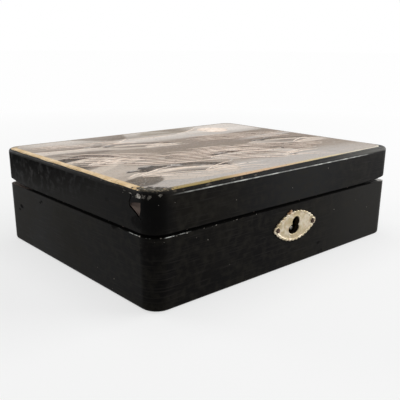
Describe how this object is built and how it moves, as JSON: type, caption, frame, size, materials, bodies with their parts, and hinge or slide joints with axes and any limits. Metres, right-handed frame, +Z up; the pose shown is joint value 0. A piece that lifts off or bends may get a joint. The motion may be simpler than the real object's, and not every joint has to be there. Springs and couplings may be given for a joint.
{
  "type": "lacquer box",
  "caption": "Flat rectangular black lacquer box with rounded corners, a hinged decorated lid and a box lock behind a scalloped oval escutcheon.",
  "frame": {"origin": "middle of the box on the surface that it stands on", "axes": "+Z up, +X to the right along the front, -Y out of the front board with the keyhole, hinges along +Y"},
  "size_m": [0.22, 0.1755, 0.066],
  "materials": {
    "black_lacquer": "satin black lacquer over wood",
    "lid_ground": "satin lacquer with grey and gold sprinkled ground",
    "nickel_silver": "worn nickel silver",
    "brass": "dull",
    "steel": "dull",
    "rusty_iron": "rusted"
  },
  "bodies": {
    "body": {"body_front_board": "black_lacquer", "body_back_board": "black_lacquer", "body_left_board": "black_lacquer", "body_right_board": "black_lacquer", "body_bottom_panel": "black_lacquer", "lip_front_left": "black_lacquer", "lip_front_right": "black_lacquer", "lip_left": "black_lacquer", "lip_right": "black_lacquer", "hinge_left_body_leaf": "brass", "hinge_left_pin": "steel", "hinge_right_body_leaf": "brass", "hinge_right_pin": "steel", "lock_plate": "brass", "lock_case": "brass", "lock_bolt_spring": "steel", "lock_drill_pin": "steel", "escutcheon": "nickel_silver", "escutcheon_pin_left": "rusty_iron", "escutcheon_pin_right": "rusty_iron", "body_hinge_screw_left_a": "brass", "body_hinge_screw_left_b": "brass", "body_hinge_screw_right_a": "brass", "body_hinge_screw_right_b": "brass", "lock_screw_left_top": "steel", "lock_screw_left_bottom": "steel", "lock_screw_right_top": "steel", "lock_screw_right_bottom": "steel"},
    "lid": {"lid_top_panel": "lid_ground", "lid_front_rail": "black_lacquer", "lid_back_rail": "black_lacquer", "lid_left_rail": "black_lacquer", "lid_right_rail": "black_lacquer", "hinge_left_lid_leaf": "brass", "hinge_right_lid_leaf": "brass", "link_plate": "brass", "lid_hinge_screw_left_a": "brass", "lid_hinge_screw_left_b": "brass", "lid_hinge_screw_right_a": "brass", "lid_hinge_screw_right_b": "brass", "link_plate_screw_left": "steel", "link_plate_screw_right": "steel"},
    "bolt": {"lock_bolt": "steel"}
  },
  "joints": [
    {"name": "lid_hinge", "type": "hinge", "parent": "body", "child": "lid", "pos_m": [0, 0.085, 0.04225], "axis": [-1, 0, 0], "range_deg": [0, 98]},
    {"name": "lock_bolt_slide", "type": "slide", "parent": "body", "child": "bolt", "axis": [1, 0, 0], "range_m": [0, 0.004]}
  ]
}
